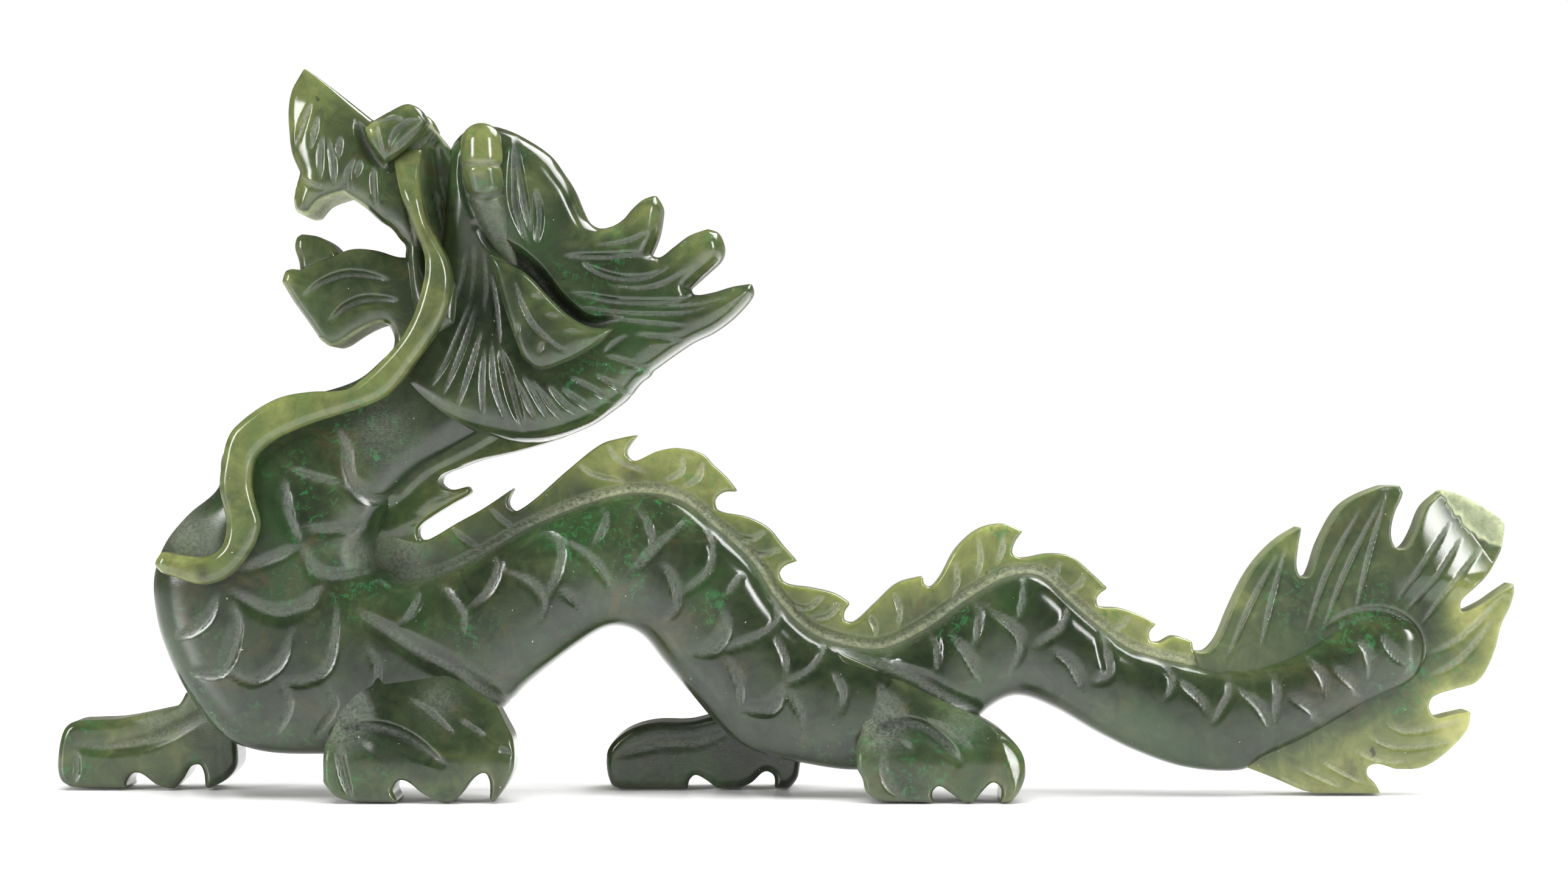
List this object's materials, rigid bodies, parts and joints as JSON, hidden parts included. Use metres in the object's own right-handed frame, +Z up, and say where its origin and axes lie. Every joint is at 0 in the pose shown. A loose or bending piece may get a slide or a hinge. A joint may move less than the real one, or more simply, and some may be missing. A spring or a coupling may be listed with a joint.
{
  "type": "jade dragon figurine",
  "caption": "Crouching Chinese dragon carved in green nephrite, long S-shaped body with open jaws, flowing mane, finned back and a fanned tail, standing on four clawed feet.",
  "frame": {"origin": "centre of the footprint's bounding box, on the surface that the feet stand on", "axes": "+X from the head to the tail, +Y towards the dragon's right side, +Z up"},
  "size_m": [0.2, 0.026, 0.0993],
  "materials": {
    "jade_body": "polished dark green nephrite",
    "jade_fin": "polished thin nephrite, lit through to yellow-green",
    "jade_head": "polished grey-green nephrite with chalky carved lines"
  },
  "bodies": {
    "root": {"beard_fan": "jade_head", "brow_left": "jade_head", "brow_right": "jade_head", "chest": "jade_body", "dorsal_fin_1": "jade_fin", "dorsal_fin_10": "jade_fin", "dorsal_fin_2": "jade_fin", "dorsal_fin_3": "jade_fin", "dorsal_fin_4": "jade_fin", "dorsal_fin_5": "jade_fin", "dorsal_fin_6": "jade_fin", "dorsal_fin_7": "jade_fin", "dorsal_fin_8": "jade_fin", "dorsal_fin_9": "jade_fin", "ear_left": "jade_head", "ear_right": "jade_head", "foreleg_left": "jade_body", "foreleg_right": "jade_body", "hindleg_left": "jade_body", "hindleg_right": "jade_body", "horn_left": "jade_head", "horn_right": "jade_head", "jaw_tooth": "jade_head", "lower_jaw": "jade_head", "mane_crown": "jade_head", "mane_lock_lower": "jade_head", "mane_lock_middle": "jade_head", "mane_lock_upper": "jade_head", "nape_fin_lower": "jade_fin", "nape_fin_upper": "jade_fin", "neck": "jade_body", "skull": "jade_head", "snout": "jade_head", "tail_fin_1": "jade_fin", "tail_fin_2": "jade_fin", "tail_fin_3": "jade_fin", "tail_fin_4": "jade_fin", "tail_fin_5": "jade_fin", "tail_fin_6": "jade_fin", "tail_root": "jade_body", "tail_tip": "jade_body", "trunk_arch": "jade_body", "trunk_front": "jade_body", "trunk_rear_arch": "jade_body", "trunk_saddle": "jade_body", "whisker_left": "jade_fin", "whisker_right": "jade_fin"}
  },
  "joints": []
}
